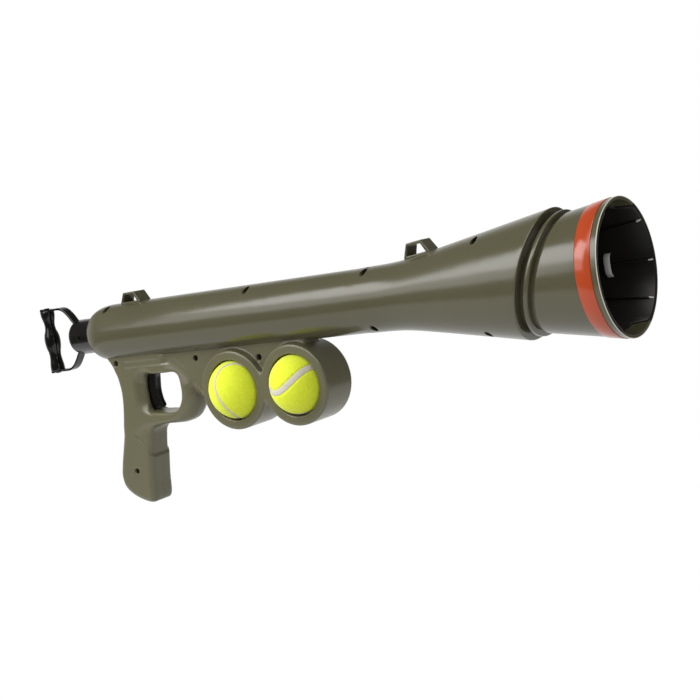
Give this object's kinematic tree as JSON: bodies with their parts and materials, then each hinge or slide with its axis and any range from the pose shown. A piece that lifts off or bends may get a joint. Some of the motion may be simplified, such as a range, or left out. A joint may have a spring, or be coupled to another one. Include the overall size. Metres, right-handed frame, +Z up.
{
  "type": "ball launcher",
  "caption": "Hand-held spring-driven ball launcher with a flared muzzle, pistol grip and trigger, a rear cocking handle and round ball holders under the barrel.",
  "frame": {"origin": "centre of the muzzle rim, on the barrel axis", "axes": "+X is the way the ball flies, +Z is up (the grip hangs down), +Y is the left side of a person who aims it"},
  "size_m": [0.7563, 0.125, 0.261],
  "materials": {
    "olive_plastic": "satin moulded olive plastic",
    "black_plastic": "glossy black plastic",
    "orange_plastic": "satin orange plastic",
    "pale_plastic": "light grey plastic",
    "steel": "plain steel",
    "rubber": "matt rubber",
    "felt": "yellow-green felt"
  },
  "bodies": {
    "casing": {"right_shell": "olive_plastic", "left_shell": "olive_plastic", "muzzle_cone": "olive_plastic", "muzzle_band": "orange_plastic", "muzzle_liner": "black_plastic", "liner_clips": "pale_plastic", "ball_chamber": "black_plastic", "front_guide": "black_plastic", "buffer_ring": "rubber", "spring_seat": "black_plastic", "rear_bush": "black_plastic", "shell_screws": "steel", "trigger_pin": "steel", "sear_pin": "steel", "main_spring": "steel", "sear_spring": "steel"},
    "plunger": {"pull_tube": "black_plastic", "tube_plug": "black_plastic", "plug_screws": "steel", "handle_arms": "black_plastic", "handle_grip": "black_plastic", "handle_screws": "steel", "arm_rivets": "steel", "rod_coupler": "black_plastic", "rod_nut": "steel", "plunger_rod": "steel", "spring_collar": "black_plastic", "pusher_cup": "black_plastic", "pusher_pad": "rubber"},
    "trigger": {"trigger": "black_plastic"},
    "sear": {"sear": "steel"},
    "rear_ball": {"rear_core": "rubber", "rear_felt": "felt"},
    "front_ball": {"front_core": "rubber", "front_felt": "felt"}
  },
  "joints": [
    {"name": "cocking_slide", "type": "slide", "parent": "casing", "child": "plunger", "axis": [-1, 0, 0], "range_m": [0, 0.09], "stiffness_N_per_m": 250, "springref_m": -0.05, "deforming": ["main_spring"]},
    {"name": "trigger_pull", "type": "hinge", "parent": "casing", "child": "trigger", "pos_m": [-0.588, 0, -0.0415], "axis": [0, 1, 0], "range_deg": [0, 12], "stiffness_Nm_per_rad": 0.5, "springref_deg": -11.46},
    {"name": "sear_release", "type": "hinge", "parent": "casing", "child": "sear", "pos_m": [-0.54, 0, -0.0414], "axis": [0, 1, 0], "range_deg": [-4.2, 0], "deforming": ["sear_spring"]},
    {"name": "rear_ball_out", "type": "slide", "parent": "casing", "child": "rear_ball", "axis": [0, -1, 0], "range_m": [0, 0.07]},
    {"name": "front_ball_out", "type": "slide", "parent": "casing", "child": "front_ball", "axis": [0, -1, 0], "range_m": [0, 0.07]}
  ],
  "couplings": [
    {"joint": "sear_release", "follows": "trigger_pull", "ratio": -0.345}
  ]
}
